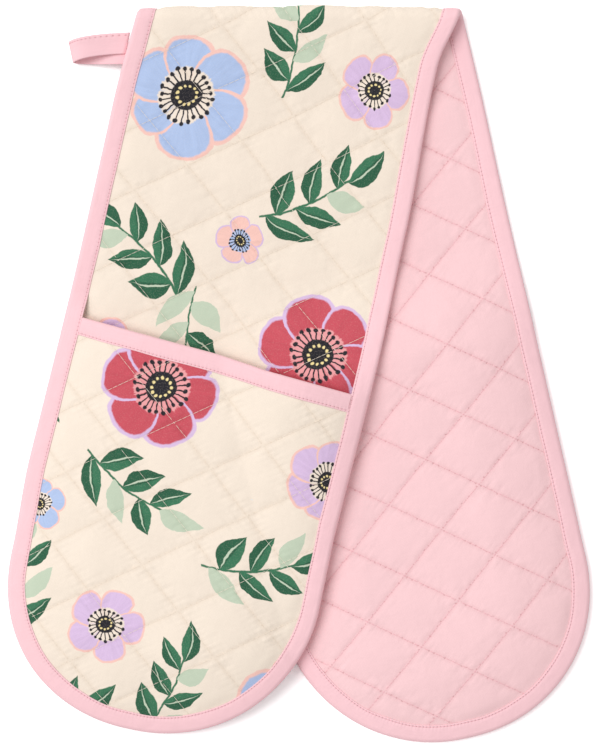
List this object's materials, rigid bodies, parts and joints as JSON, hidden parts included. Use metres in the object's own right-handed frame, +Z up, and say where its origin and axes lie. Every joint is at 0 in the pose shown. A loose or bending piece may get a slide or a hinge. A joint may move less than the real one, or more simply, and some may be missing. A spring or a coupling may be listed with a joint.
{
  "type": "double oven glove",
  "caption": "Long quilted band with a hand pocket sewn over each end, bound edges and a hanging loop, folded on a slant and laid flat.",
  "frame": {"origin": "on the table, under the middle of the folded glove", "axes": "+Z up from the table, +X along the fold to the back half's side, +Y from the mitts to the fold"},
  "size_m": [0.3402, 0.4342, 0.0359],
  "materials": {
    "printed_cotton": "plain-woven cotton with a printed flower pattern on cream",
    "pink_cotton": "plain-woven pink cotton",
    "pink_binding": "folded pink cotton tape, fine lengthwise ribs",
    "wadding": "needled polyester wadding"
  },
  "bodies": {
    "back_half": {"back_band_face": "printed_cotton", "back_band_wadding": "wadding", "back_band_lining": "pink_cotton", "back_pocket_face": "printed_cotton", "back_pocket_wadding": "wadding", "back_pocket_lining": "pink_cotton", "back_edge_binding": "pink_binding", "back_mouth_binding": "pink_binding", "fold_lining": "pink_cotton", "fold_wadding": "wadding", "fold_face": "printed_cotton", "fold_binding_left": "pink_binding", "fold_binding_right": "pink_binding"},
    "front_half": {"front_band_lining": "pink_cotton", "front_band_wadding": "wadding", "front_band_face": "printed_cotton", "front_pocket_lining": "pink_cotton", "front_pocket_wadding": "wadding", "front_pocket_face": "printed_cotton", "front_edge_binding": "pink_binding", "front_mouth_binding": "pink_binding", "loop_sewn_end": "pink_binding"},
    "loop": {"hanging_loop": "pink_binding"}
  },
  "joints": [
    {"name": "fold", "type": "hinge", "parent": "back_half", "child": "front_half", "pos_m": [-0.00071, 0.2101, 0.0072], "axis": [-1, 0, 0], "range_deg": [0, 180], "deforming": ["fold_lining", "fold_wadding", "fold_face", "fold_binding_left", "fold_binding_right"]},
    {"name": "loop_swing", "type": "hinge", "parent": "front_half", "child": "loop", "pos_m": [-0.10366, 0.19033, 0.00716], "axis": [0.2224, 0.975, 0], "range_deg": [-85, 85]}
  ]
}
